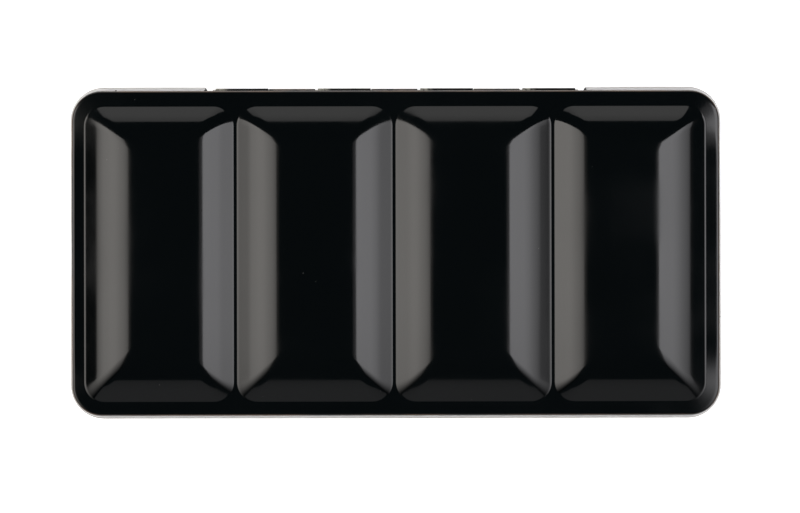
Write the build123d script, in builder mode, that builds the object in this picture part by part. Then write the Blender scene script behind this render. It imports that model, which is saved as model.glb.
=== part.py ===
# Gouache paint set box: a pressed tin with a four-well lid on a back wire hinge,
# a white enamelled tray holding a row of tubes and a brush, and a folding thumb ring.
# Millimetres. X is the length, Y the depth with the hinge at +Y, Z up from the table.
from build123d import *
from math import asin, cos, pi, radians, sin, sqrt
import os

os.makedirs("parts", exist_ok=True)

# ---------------------------------------------------------------- driving sizes
flange_length = 240.0       # outer edge of the base flange, along X
flange_depth = 122.2        # outer edge of the base flange, along Y
flange_corner_r = 12.2      # flange corner in plan
flange_width = 2.25         # from the base wall's outer face to the flange edge
parting_height = 17.0       # top face of the flange above the table
lip_drop = 1.3              # down-turned edge of the flange
base_gauge = 0.45           # sheet of the base
base_bottom_r = 3.0         # outer fillet between the base wall and its floor

lid_side_inset = 1.3        # flange showing beyond the lid at each end
lid_front_inset = 1.55      # flange showing beyond the lid at front and back
lid_height = 6.4            # lid edge to the outer face of the land
lid_edge_r = 1.4            # rounded edge between the lid wall and the land
lid_gauge = 0.40            # sheet of the lid
lid_rest_gap = 0.08         # enamel gap between the lid edge and the flange

well_groove = 0.5           # flat left between neighbouring wells
middle_well_extra = 2.6     # a middle well is this much longer in X than an end well
well_side_land = 4.75       # land between the lid's outline and the end wells
well_back_land = 5.55       # land behind the wells
well_front_land = 4.55      # land in front of the wells
well_corner_r = 7.6         # plan corner of a well at the land
well_inner_corner_r = 2.6   # plan corner kept near the top of a well
well_corner_ease = 0.55     # how fast the corner tightens on the way up
well_root_width = 1.3       # width of the hollow fillet where a well leaves the land
well_dome_width = 20.0      # width of the domed slope above it
well_slope = 36.5           # steepest tilt of a well's side, in degrees
root_levels = 2             # sections of the fillet's loft, above its first
dome_levels = 4             # sections of the dome's loft, above its first

wire_d = 1.0                # hinge wire
wire_gap = 0.05             # radial running clearance of the wire
swing_gap = 0.20            # lid's land above the flange when it lies open
knuckle_pitch = 37.55       # from one base knuckle to the next
knuckle_count = 4           # knuckles curled from the base
base_knuckle_length = 19.4
lid_knuckle_length = 16.9
lid_knuckle_shift = -0.4    # the lid sits a little to one side on its wire
hinge_end_margin = 4.1      # bare wall between the end knuckles and the flange
window_margin = 2.6         # lid wall left off beyond the end knuckles
hinge_end_chamfer = 1.6     # slanted end of the flange beside the hinge
knuckle_gap = 0.3           # between a knuckle and the sheet it passes
curl_slit = 0.12            # slit left where the end of a curl stops
base_curl_end = 250.0       # where a base knuckle's curl stops, in degrees round the wire
lid_curl_end = 125.0        # where a lid knuckle's curl stops
wire_end = 1.2              # wire standing out of the end knuckles
wire_end_r = 0.3            # rounded end of the wire

foot_band = 9.0             # flat rim that the base stands on
panel_rise = 2.6            # hollow under the middle of the base
ring_wire_d = 1.5           # thumb ring wire
ring_bar = 19.0             # thumb ring's near side, with the bar
ring_width = 24.0           # its far side
ring_near_r = 2.5
ring_far_r = 10.5
ring_y = -7.0               # bar's place on the base
ring_reach = 23.0           # from the bar's axis to the far side of the ring
strap_length = 9.0          # strap that holds the ring's bar
strap_foot = 5.0            # flat foot of the strap on each side of the bar
strap_gauge = 0.4
strap_corner_r = 1.5
ring_gap = 0.06             # radial running clearance of the ring's bar

insert_gauge = 0.6          # formed sheet of the tube insert
insert_side_gap = 0.5       # between the insert and the base walls
trough_depth = 4.8          # from the insert's top down to the bottom of a tube trough
seat_gap = 0.06             # air between pieces that rest on each other

tube_d = 17.6               # round end of a tube
tube_flat_length = 45.5     # part next to the tail that goes from round to flat
tube_crimp_length = 6.5     # flat tail
tube_fold_length = 3.25     # part of the tail that is folded over
tube_crimp_gauge = 1.5
tube_shoulder_length = 3.6
tube_shoulder_lap = 1.0     # shoulder disc's rim inside the tube
tube_neck_d = 8.0
tube_neck_length = 9.5
tube_back_margin = 3.6      # from the base's inner back wall to the tubes
tube_front_gap = 5.25       # from the brush channel to the tubes
tube_side_gap = 0.3         # between a round shoulder and its neighbour's flat side
tube_end_margin = 2.6       # least room between an end tube's tail and the base wall
tube_seat_gap = 0.25        # radial room of a tube in its trough
tube_end_room = 0.6         # room at each end of a tube in its trough
tube_fold = 0.3             # extra thickness of the folded end and the shoulder's bead
flat_levels = 5             # sections of the loft from round to flat, above its first

cap_d = 15.0
cap_length = 14.4
cap_sides = 24              # flats of the grip
cap_crown = 1.2             # plain rim above the grip
cap_edge = 0.7              # bevelled edge of the cap's end
cap_lift = 0.25             # between the cap's mouth and the tube's shoulder
cap_bore_gap = 0.08         # radial clearance on the neck

brush_d = 6.4               # thickest part of the handle
brush_handle_length = 132.0
brush_ferrule_length = 27.0
brush_hair_length = 19.0
brush_ferrule_d = 5.0
brush_tip_d = 1.6           # tail of the handle
brush_tip_r = 0.6           # rounding of the tail
brush_mid_d = 4.6           # handle halfway along
brush_belly_length = 24.0   # from the ferrule back to the thickest part
ferrule_wall = 0.3
ferrule_mouth = 0.84        # ferrule's mouth, as a share of its widest part
spigot_length = 11.0        # handle inside the ferrule
ferrule_crimps = 2          # grooves rolled into the ferrule to hold the handle
crimp_width = 0.8
crimp_depth = 0.15
hair_root = 6.0             # hair inside the ferrule
hair_belly_d = 4.0
hair_belly_length = 6.6     # from the ferrule to the hair's thickest part
hair_point_d = 2.0
hair_point_length = 4.8     # from there to the tip
brush_room = 1.0            # radial room of the brush in its channel
brush_end_room = 4.0        # room at each end of the brush
dip_r = 9.0                 # finger dip scooped across the channel
dip_length = 11.5
channel_front_margin = 8.0  # from the base's inner front wall to the brush axis

# ------------------------------------------------------------- tied-up sizes
base_length = flange_length - 2 * flange_width
base_depth = flange_depth - 2 * flange_width
base_corner_r = flange_corner_r - flange_width
inner_length = base_length - 2 * base_gauge
inner_depth = base_depth - 2 * base_gauge
inner_corner_r = base_corner_r - base_gauge
floor_top = panel_rise + base_gauge
panel_length = base_length - 2 * foot_band
panel_depth = base_depth - 2 * foot_band
bevel_shift = base_gauge * (sqrt(2) - 1)

lid_length = flange_length - 2 * lid_side_inset
lid_depth = flange_depth - 2 * lid_front_inset
lid_corner_r = flange_corner_r - lid_side_inset
well_width = (lid_length - 2 * well_side_land - 3 * well_groove + 2 * middle_well_extra) / 4
lid_bottom = parting_height + lid_rest_gap
land_top = parting_height + lid_height
land_under = land_top - lid_gauge

bore_r = wire_d / 2 + wire_gap
base_knuckle_r = bore_r + base_gauge
lid_knuckle_r = bore_r + lid_gauge
hinge_y = base_depth / 2 + bore_r
hinge_z = parting_height + (lid_height + swing_gap) / 2
hinge_half = (knuckle_count - 1) * knuckle_pitch / 2 + base_knuckle_length / 2
notch_half = hinge_half + hinge_end_margin
knuckle_centres = [(i - (knuckle_count - 1) / 2) * knuckle_pitch for i in range(knuckle_count)]
gap_centres = [c + knuckle_pitch / 2 for c in knuckle_centres[:-1]]


# ---------------------------------------------------------------- base tray
# A drawn tray: a flat foot band round a raised floor panel, straight walls, and a
# flange turned out at the top with its edge turned down. Behind the hinge the
# flange is left off, the wall stands up, and four tabs of it curl round the wire.
with BuildPart() as tray_room:
    with BuildSketch(Plane.XY.offset(base_gauge)):
        RectangleRounded(inner_length, inner_depth, inner_corner_r)
    extrude(amount=parting_height)
    fillet(tray_room.faces().sort_by(Axis.Z)[0].edges(), base_bottom_r - base_gauge)

with BuildPart() as base_tray:
    with BuildSketch(Plane.XY):
        RectangleRounded(base_length, base_depth, base_corner_r)
    extrude(amount=parting_height)
    fillet(base_tray.faces().sort_by(Axis.Z)[0].edges(), base_bottom_r)
    with BuildSketch(Plane.XY.offset(parting_height - lip_drop)):
        RectangleRounded(flange_length, flange_depth, flange_corner_r)
    extrude(amount=lip_drop)
    fillet(base_tray.faces().sort_by(Axis.Z)[-1].edges(), base_gauge)
    # hollow behind the down-turned edge
    with BuildSketch(Plane.XY.offset(parting_height - lip_drop)):
        RectangleRounded(
            flange_length - 2 * base_gauge, flange_depth - 2 * base_gauge, flange_corner_r - base_gauge
        )
        RectangleRounded(base_length, base_depth, base_corner_r, mode=Mode.SUBTRACT)
    extrude(amount=lip_drop - base_gauge, mode=Mode.SUBTRACT)
    # inside of the tray
    add(tray_room.part, mode=Mode.SUBTRACT)
    # raised panel, its bevel at forty-five degrees and of even gauge
    for height, length, depth, mode in (
        (base_gauge, panel_length + 2 * bevel_shift, panel_depth + 2 * bevel_shift, Mode.ADD),
        (0, panel_length, panel_depth, Mode.SUBTRACT),
    ):
        with BuildSketch(Plane.XY.offset(height)):
            RectangleRounded(length, depth, base_corner_r)
        with BuildSketch(Plane.XY.offset(height + panel_rise)):
            RectangleRounded(length - 2 * panel_rise, depth - 2 * panel_rise, base_corner_r - panel_rise)
        loft(mode=mode)
    # flange left off behind the hinge, its ends slanted
    with BuildSketch(Plane.XY.offset(parting_height - lip_drop)):
        with BuildLine():
            Polyline(
                (-notch_half + hinge_end_chamfer, base_depth / 2),
                (-notch_half, flange_depth / 2 + flange_width),
                (notch_half, flange_depth / 2 + flange_width),
                (notch_half - hinge_end_chamfer, base_depth / 2),
                close=True,
            )
        make_face()
    extrude(amount=lip_drop, mode=Mode.SUBTRACT)
    # wall standing up between the knuckles
    upstand_top = hinge_z - base_knuckle_r - knuckle_gap
    with Locations((0, base_depth / 2 - base_gauge / 2, (parting_height + upstand_top) / 2)):
        Box(2 * hinge_half, base_gauge, upstand_top - parting_height)
    # knuckles: the tab rises at the wall and curls outwards round the wire
    for centre in knuckle_centres:
        start = Plane.YZ.offset(centre - base_knuckle_length / 2)
        with BuildSketch(start):
            with Locations((hinge_y, hinge_z)):
                Circle(base_knuckle_r)
            with Locations((base_depth / 2 - base_gauge / 2, (parting_height + hinge_z) / 2)):
                Rectangle(base_gauge, hinge_z - parting_height)
            with Locations((hinge_y, hinge_z)):
                Circle(bore_r, mode=Mode.SUBTRACT)
            # slit where the end of the curl stops short of the tab
            with Locations((hinge_y, hinge_z)):
                with PolarLocations(bore_r + base_gauge / 2, 1, start_angle=base_curl_end):
                    Rectangle(2 * base_gauge, curl_slit, mode=Mode.SUBTRACT)
        extrude(amount=base_knuckle_length)
base_tray.part.label = "base_tray"
export_step(base_tray.part, "parts/base_tray.step")


# ------------------------------------------------------------------- the lid
# One pressed sheet. A well rises from the land by a hollow root fillet and then a
# dome whose slope eases off to a flat: at distance d from the well's edge
#   root:  z = r_root (1 - cos t),         sin t = d / r_root
#   dome:  z = top - r_dome (1 - cos t),   sin t = (root + dome width - d) / r_dome
root_r = well_root_width / sin(radians(well_slope))
dome_r = well_dome_width / sin(radians(well_slope))
root_rise = root_r * (1 - cos(radians(well_slope)))
dome_rise = dome_r * (1 - cos(radians(well_slope)))
well_rise = root_rise + dome_rise

well_depth = lid_depth - well_back_land - well_front_land
well_y = (well_front_land - well_back_land) / 2
end_well_start = well_width + 1.5 * well_groove
end_well_stop = lid_length / 2 - well_side_land
end_well_width = end_well_stop - end_well_start
end_well_x = (end_well_start + end_well_stop) / 2
middle_well_x = (well_groove + well_width) / 2


def well_height(d):
    """Height of a well's skin above the land at distance d inside its edge."""
    if d <= well_root_width:
        return root_r * (1 - cos(asin(d / root_r)))
    rest = well_root_width + well_dome_width - d
    return well_rise - dome_r * (1 - cos(asin(rest / dome_r)))


def well_corner(d):
    """Plan corner radius of a well at distance d inside its edge."""
    return max(well_corner_r - d * well_corner_ease, well_inner_corner_r)


root_steps = [well_root_width * k / root_levels for k in range(root_levels + 1)]
dome_steps = [well_root_width + well_dome_width * k / dome_levels for k in range(dome_levels + 1)]

well_forms = []
for width in (well_width, end_well_width):
    with BuildPart() as well:
        with BuildSketch(Plane.XY):
            RectangleRounded(width, well_depth, well_corner_r)
        extrude(amount=-lid_gauge / 2)
        for steps in (root_steps, dome_steps):
            for step in steps:
                with BuildSketch(Plane.XY.offset(well_height(step))):
                    RectangleRounded(width - 2 * step, well_depth - 2 * step, well_corner(step))
            loft()
    well_forms.append(well.part)
middle_well, end_well = well_forms

with BuildPart() as well_row:
    with Locations((-middle_well_x, well_y), (middle_well_x, well_y)):
        add(middle_well)
    with Locations((-end_well_x, well_y), (end_well_x, well_y)):
        add(end_well)

with BuildPart() as lid_room:
    with BuildSketch(Plane.XY.offset(lid_bottom)):
        RectangleRounded(lid_length - 2 * lid_gauge, lid_depth - 2 * lid_gauge, lid_corner_r - lid_gauge)
    extrude(amount=land_under - lid_bottom)
    fillet(lid_room.faces().sort_by(Axis.Z)[-1].edges(), lid_edge_r - lid_gauge)
    with Locations((0, 0, land_under)):
        add(well_row.part)

with BuildPart() as lid:
    with BuildSketch(Plane.XY.offset(lid_bottom)):
        RectangleRounded(lid_length, lid_depth, lid_corner_r)
    extrude(amount=land_top - lid_bottom)
    fillet(lid.faces().sort_by(Axis.Z)[-1].edges(), lid_edge_r)
    with Locations((0, 0, land_top)):
        add(well_row.part)
    add(lid_room.part, mode=Mode.SUBTRACT)
    # the back wall is left off behind the hinge, clear of the base's knuckles
    window_top = hinge_z + base_knuckle_r + knuckle_gap / 2
    window_half = hinge_half + window_margin
    with Locations((0, lid_depth / 2, (lid_bottom + window_top) / 2)):
        Box(2 * window_half, 4 * lid_gauge, window_top - lid_bottom, mode=Mode.SUBTRACT)
    # lid knuckles: tongues of the wall curled round the wire
    for centre in gap_centres:
        start = Plane.YZ.offset(centre + lid_knuckle_shift - lid_knuckle_length / 2)
        with BuildSketch(start):
            with Locations((hinge_y, hinge_z)):
                Circle(lid_knuckle_r)
            with Locations((lid_depth / 2 - lid_gauge / 2, (hinge_z + window_top + knuckle_gap) / 2)):
                Rectangle(lid_gauge, window_top + knuckle_gap - hinge_z)
            with Locations((hinge_y, hinge_z)):
                Circle(bore_r, mode=Mode.SUBTRACT)
            # slit where the end of the curl comes back to the wall
            with Locations((hinge_y, hinge_z)):
                with PolarLocations(bore_r + lid_gauge / 2, 1, start_angle=lid_curl_end):
                    Rectangle(2 * lid_gauge, curl_slit, mode=Mode.SUBTRACT)
        extrude(amount=lid_knuckle_length)
lid.part.label = "lid"
export_step(lid.part, "parts/lid.step")


# ---------------------------------------------------------------- hinge wire
with BuildPart() as hinge_wire:
    with BuildSketch(Plane.YZ.offset(-hinge_half - wire_end)):
        with Locations((hinge_y, hinge_z)):
            Circle(wire_d / 2)
    extrude(amount=2 * (hinge_half + wire_end))
    fillet(hinge_wire.edges(), wire_end_r)
hinge_wire.part.label = "hinge_wire"
export_step(hinge_wire.part, "parts/hinge_wire.step")


# ---------------------------------------------------------------- thumb ring
# A D of round wire lies in the hollow under the base. Its straight bar turns in a
# strap whose flat feet are welded to the panel.
bar_z = panel_rise - 2 * ring_gap - ring_wire_d / 2
strap_bore_r = ring_wire_d / 2 + ring_gap

with BuildSketch(Plane.XY.offset(bar_z)) as ring_outline:
    with BuildLine():
        Polyline(
            (-ring_bar / 2, ring_y),
            (ring_bar / 2, ring_y),
            (ring_width / 2, ring_y + ring_reach),
            (-ring_width / 2, ring_y + ring_reach),
            close=True,
        )
    make_face()
    fillet(ring_outline.vertices().sort_by(Axis.Y)[:2], ring_near_r)
    fillet(ring_outline.vertices().sort_by(Axis.Y)[-2:], ring_far_r)

with BuildPart() as thumb_ring:
    with BuildLine():
        add(ring_outline.face().outer_wire())
    with BuildSketch(Plane(origin=(0, ring_y, bar_z), z_dir=(1, 0, 0))):
        Circle(ring_wire_d / 2)
    sweep()
thumb_ring.part.label = "thumb_ring"
export_step(thumb_ring.part, "parts/thumb_ring.step")

with BuildPart() as ring_strap:
    strap_r = strap_bore_r + strap_gauge
    with BuildSketch(Plane.YZ.offset(-strap_length / 2)):
        with Locations((ring_y, bar_z)):
            Circle(strap_r)
        with Locations((ring_y, (bar_z + panel_rise) / 2)):
            Rectangle(2 * strap_r, panel_rise - bar_z)
        with Locations((ring_y, panel_rise - strap_gauge / 2)):
            Rectangle(2 * (strap_r + strap_foot), strap_gauge)
        with Locations((ring_y, bar_z)):
            Circle(strap_bore_r, mode=Mode.SUBTRACT)
        with Locations((ring_y, (bar_z + panel_rise) / 2)):
            Rectangle(2 * strap_bore_r, panel_rise - bar_z, mode=Mode.SUBTRACT)
        with Locations((ring_y, panel_rise + strap_r / 2)):
            Rectangle(2 * strap_r, strap_r, mode=Mode.SUBTRACT)
    extrude(amount=strap_length)
    strap_ends = ring_strap.edges().filter_by(Axis.Z).sort_by(Axis.Y)
    fillet(strap_ends[:2] + strap_ends[-2:], strap_corner_r)
ring_strap.part.label = "ring_strap"
export_step(ring_strap.part, "parts/ring_strap.step")


# --------------------------------------------------------------- tube insert
# Thin formed sheet: round-bottomed troughs side by side and a channel for the brush
# in front. The underside is the same form one gauge further out. Tubes lie head to
# tail, so a round shoulder and a cap each sit beside the flat side of a neighbour.
insert_length = inner_length - 2 * insert_side_gap
insert_depth = inner_depth - 2 * insert_side_gap
insert_corner_r = inner_corner_r - insert_side_gap
insert_bottom = floor_top + seat_gap
insert_top = insert_bottom + insert_gauge + trough_depth
trough_r = tube_d / 2 + tube_seat_gap
tube_z = insert_bottom + insert_gauge + trough_r
channel_r = brush_d / 2 + brush_room
channel_y = -inner_depth / 2 + channel_front_margin
channel_z = insert_bottom + insert_gauge + channel_r
dip_z = insert_bottom + insert_gauge + dip_r
tube_back_y = inner_depth / 2 - tube_back_margin
tube_front_y = channel_y + channel_r + tube_front_gap
tube_length = tube_back_y - tube_front_y
tube_y = (tube_back_y + tube_front_y) / 2
tail_y = -tube_length / 2
crimp_y = tail_y + tube_crimp_length
mouth_y = tube_length / 2 - cap_length - cap_lift
shoulder_y = mouth_y - tube_shoulder_length
tube_body_length = shoulder_y - crimp_y
tube_round_length = tube_body_length - tube_flat_length
tube_crimp_width = pi * tube_d / 2
channel_length = brush_handle_length + brush_ferrule_length + brush_hair_length + 2 * brush_end_room


def tube_section(back):
    """Half width and half height of a tube at distance back behind its shoulder."""
    share = (back - tube_round_length) / tube_flat_length
    flat = (1 - cos(pi * max(share, 0))) / 2
    half_width = tube_d / 2 + (tube_crimp_width - tube_d) / 2 * flat
    half_height = tube_d / 2 - (tube_d - tube_crimp_gauge) / 2 * flat
    return half_width, half_height


beside_shoulder = tube_section(2 * shoulder_y)[0] + tube_d / 2
beside_cap = (tube_crimp_width + cap_d) / 2
tube_pitch = max(beside_shoulder, beside_cap) + tube_side_gap
tube_count = int((inner_length - 2 * tube_end_margin - tube_crimp_width) / tube_pitch) + 1
tube_xs = [(i - (tube_count - 1) / 2) * tube_pitch for i in range(tube_count)]

with BuildPart() as insert_hollow:
    with BuildSketch(Plane.XY.offset(insert_bottom)):
        RectangleRounded(
            insert_length - 2 * insert_gauge, insert_depth - 2 * insert_gauge, insert_corner_r - insert_gauge
        )
    extrude(amount=trough_depth)
    with Locations(*[(x, tube_y, tube_z) for x in tube_xs]):
        Cylinder(
            trough_r + insert_gauge, tube_length + 2 * (tube_end_room + insert_gauge),
            rotation=(90, 0, 0), mode=Mode.SUBTRACT,
        )
    with Locations((0, channel_y, channel_z)):
        Cylinder(
            channel_r + insert_gauge, channel_length + 2 * insert_gauge,
            rotation=(0, 90, 0), mode=Mode.SUBTRACT,
        )
    with Locations((0, channel_y, dip_z)):
        Cylinder(
            dip_r + insert_gauge, dip_length + 2 * insert_gauge, rotation=(90, 0, 0), mode=Mode.SUBTRACT
        )

with BuildPart() as tube_insert:
    with BuildSketch(Plane.XY.offset(insert_bottom)):
        RectangleRounded(insert_length, insert_depth, insert_corner_r)
    extrude(amount=insert_top - insert_bottom)
    fillet(tube_insert.faces().sort_by(Axis.Z)[-1].edges(), insert_gauge)
    with Locations(*[(x, tube_y, tube_z) for x in tube_xs]):
        Cylinder(trough_r, tube_length + 2 * tube_end_room, rotation=(90, 0, 0), mode=Mode.SUBTRACT)
    with Locations((0, channel_y, channel_z)):
        Cylinder(channel_r, channel_length, rotation=(0, 90, 0), mode=Mode.SUBTRACT)
    with Locations((0, channel_y, dip_z)):
        Cylinder(dip_r, dip_length, rotation=(90, 0, 0), mode=Mode.SUBTRACT)
    add(insert_hollow.part, mode=Mode.SUBTRACT)
tube_insert.part.label = "tube_insert"
export_step(tube_insert.part, "parts/tube_insert.step")


# ---------------------------------------------------------------- paint tubes
# One tube, lying along Y with its cap towards +Y: round at the shoulder, pressed
# flat towards a folded tail. y = 0 is the middle of its whole length with the cap.
flat_steps = [tube_round_length + tube_flat_length * k / flat_levels for k in range(flat_levels + 1)]

with BuildPart() as tube_form:
    with BuildSketch(Plane.XZ.offset(-shoulder_y)):
        Circle(tube_d / 2)
    extrude(amount=tube_round_length)
    for back in flat_steps:
        with BuildSketch(Plane.XZ.offset(-shoulder_y + back)):
            Ellipse(*tube_section(back))
    loft()
    # tail, its end folded over twice
    with Locations((0, (tail_y + crimp_y) / 2, 0)):
        Box(tube_crimp_width, tube_crimp_length, tube_crimp_gauge)
    with Locations((0, tail_y + tube_fold_length / 2, 0)):
        Box(tube_crimp_width, tube_fold_length, tube_crimp_gauge + 2 * tube_fold)
    # shoulder and neck
    with BuildSketch(Plane.XY):
        with BuildLine():
            Polyline(
                (0, shoulder_y - tube_shoulder_lap),
                (tube_d / 2 - tube_fold, shoulder_y - tube_shoulder_lap),
                (tube_d / 2 - tube_fold, shoulder_y + tube_fold),
                (tube_neck_d / 2 + tube_fold, mouth_y),
                (tube_neck_d / 2, mouth_y),
                (tube_neck_d / 2, mouth_y + tube_neck_length),
                (0, mouth_y + tube_neck_length),
                close=True,
            )
        make_face()
    revolve(axis=Axis.Y)

# Cap: flats for the fingers, a plain crown, and a blind bore on the neck.
cap_y = mouth_y + cap_lift
with BuildPart() as cap_form:
    with BuildSketch(Plane.XZ.offset(-cap_y)):
        RegularPolygon(cap_d / 2, cap_sides)
    extrude(amount=-(cap_length - cap_crown))
    with BuildSketch(Plane.XZ.offset(-cap_y - cap_length + cap_crown)):
        Circle(cap_d / 2 * cos(pi / cap_sides))
    extrude(amount=-cap_crown)
    chamfer(cap_form.faces().sort_by(Axis.Y)[-1].edges(), cap_edge)
    with BuildSketch(Plane.XZ.offset(-cap_y)):
        Circle(tube_neck_d / 2 + cap_bore_gap)
    extrude(amount=-(tube_neck_length + cap_bore_gap), mode=Mode.SUBTRACT)

for index, x in enumerate(tube_xs):
    place = Location((x, tube_y, tube_z), (0, 0, 180 * (index % 2)))
    with BuildPart() as tube:
        with Locations(place):
            add(tube_form.part)
    tube.part.label = f"tube_{index + 1:02d}"
    export_step(tube.part, f"parts/tube_{index + 1:02d}.step")
    with BuildPart() as cap:
        with Locations(place):
            add(cap_form.part)
    cap.part.label = f"cap_{index + 1:02d}"
    export_step(cap.part, f"parts/cap_{index + 1:02d}.step")


# --------------------------------------------------------------------- brush
# Turned handle, nickel ferrule and a pointed round head, lying along X.
brush_z = insert_bottom + insert_gauge + seat_gap + brush_d / 2
brush_length = brush_handle_length + brush_ferrule_length + brush_hair_length
butt_x = -brush_length / 2
ferrule_x = butt_x + brush_handle_length
hair_x = ferrule_x + brush_ferrule_length
tip_x = hair_x + brush_hair_length
brush_plane = Plane.XY.offset(brush_z).shift_origin((0, channel_y, brush_z))
brush_axis = Axis((0, channel_y, brush_z), (1, 0, 0))
spigot_r = brush_ferrule_d / 2 - ferrule_wall

with BuildPart() as brush_handle:
    with BuildSketch(brush_plane):
        with BuildLine():
            belly = Spline(
                (butt_x, brush_tip_d / 2),
                (butt_x + brush_handle_length / 2, brush_mid_d / 2),
                (ferrule_x - brush_belly_length, brush_d / 2),
                (ferrule_x, brush_ferrule_d / 2),
            )
            Polyline(
                belly @ 1,
                (ferrule_x, spigot_r),
                (ferrule_x + spigot_length, spigot_r),
                (ferrule_x + spigot_length, 0),
                (butt_x, 0),
                belly @ 0,
            )
        make_face()
    revolve(axis=brush_axis)
    fillet(brush_handle.edges().sort_by(Axis.X)[0], brush_tip_r)
brush_handle.part.label = "brush_handle"
export_step(brush_handle.part, "parts/brush_handle.step")

crimp_points = []
for crimp in range(ferrule_crimps):
    crimp_x = ferrule_x + spigot_length * (crimp + 1) / (ferrule_crimps + 1)
    crimp_points += [
        (crimp_x - crimp_width / 2, brush_ferrule_d / 2),
        (crimp_x, brush_ferrule_d / 2 - crimp_depth),
        (crimp_x + crimp_width / 2, brush_ferrule_d / 2),
    ]

with BuildPart() as brush_ferrule:
    mouth_r = brush_ferrule_d / 2 * ferrule_mouth
    with BuildSketch(brush_plane):
        with BuildLine():
            Polyline(
                (ferrule_x, spigot_r),
                (ferrule_x, brush_ferrule_d / 2),
                *crimp_points,
                (ferrule_x + spigot_length, brush_ferrule_d / 2),
                (hair_x, mouth_r),
                (hair_x, mouth_r - ferrule_wall),
                (hair_x - hair_root, mouth_r - ferrule_wall),
                (hair_x - hair_root, 0),
                (ferrule_x + spigot_length, 0),
                (ferrule_x + spigot_length, spigot_r),
                close=True,
            )
        make_face()
    revolve(axis=brush_axis)
brush_ferrule.part.label = "brush_ferrule"
export_step(brush_ferrule.part, "parts/brush_ferrule.step")

with BuildPart() as brush_hair:
    hair_root_r = mouth_r - ferrule_wall
    with BuildSketch(brush_plane):
        with BuildLine():
            side = Spline(
                (hair_x, hair_root_r),
                (hair_x + hair_belly_length, hair_belly_d / 2),
                (tip_x - hair_point_length, hair_point_d / 2),
                (tip_x, 0),
            )
            Polyline(
                side @ 1,
                (hair_x - hair_root, 0),
                (hair_x - hair_root, hair_root_r),
                side @ 0,
            )
        make_face()
    revolve(axis=brush_axis)
brush_hair.part.label = "brush_hair"
export_step(brush_hair.part, "parts/brush_hair.step")
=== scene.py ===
import bmesh
import bpy
import numpy as np
from math import radians
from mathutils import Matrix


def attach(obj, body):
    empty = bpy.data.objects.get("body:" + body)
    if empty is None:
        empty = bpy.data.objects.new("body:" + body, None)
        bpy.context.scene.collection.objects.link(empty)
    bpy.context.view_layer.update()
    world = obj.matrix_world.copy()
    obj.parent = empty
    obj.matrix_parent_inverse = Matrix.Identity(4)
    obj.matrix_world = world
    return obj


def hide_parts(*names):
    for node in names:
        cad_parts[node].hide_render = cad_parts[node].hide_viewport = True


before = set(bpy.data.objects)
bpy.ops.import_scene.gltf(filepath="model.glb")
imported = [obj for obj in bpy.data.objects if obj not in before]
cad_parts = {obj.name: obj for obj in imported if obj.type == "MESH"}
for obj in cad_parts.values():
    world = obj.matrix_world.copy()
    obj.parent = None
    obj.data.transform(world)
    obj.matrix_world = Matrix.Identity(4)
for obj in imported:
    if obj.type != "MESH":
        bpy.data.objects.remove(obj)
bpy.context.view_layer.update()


# ------------------------------------------------------------------ Camera
# A camera straight above the closed box, seven tenths of a metre over the
# flange, and rolled by a tenth of a degree. At the flange one point of the
# image is 0.369 mm wide.
scene = bpy.context.scene
flange_z = 0.017
camera_rise = 0.700
image_points, point_width, sensor = 800, 0.0003692, 36.0
camera_data = bpy.data.cameras.new("overhead")
camera_data.sensor_width = sensor
camera_data.lens = sensor * camera_rise / (image_points * point_width)
camera = bpy.data.objects.new("overhead", camera_data)
scene.collection.objects.link(camera)
camera.location = (0.00157, -0.00142, flange_z + camera_rise)
camera.rotation_euler = (0, 0, radians(-0.1))
scene.camera = camera
scene.view_settings.view_transform = "Standard"


# ------------------------------------------------- Studio: table and lights
# A white table, a tall softbox at each end of the box, and low reflectors behind
# it and in front. A scrim overhead lights matt surfaces only, and the ceiling is
# dark, so the flat parts of the gloss enamel stay black.
mm = 0.001                              # in metres


def place_mesh(name, points, faces):
    """Mesh object from an array of points in millimetres and a list of faces."""
    mesh = bpy.data.meshes.new(name)
    mesh.from_pydata((np.asarray(points, float) * mm).tolist(), [], faces)
    mesh.update()
    thing = bpy.data.objects.new(name, mesh)
    scene.collection.objects.link(thing)
    return thing


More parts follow.
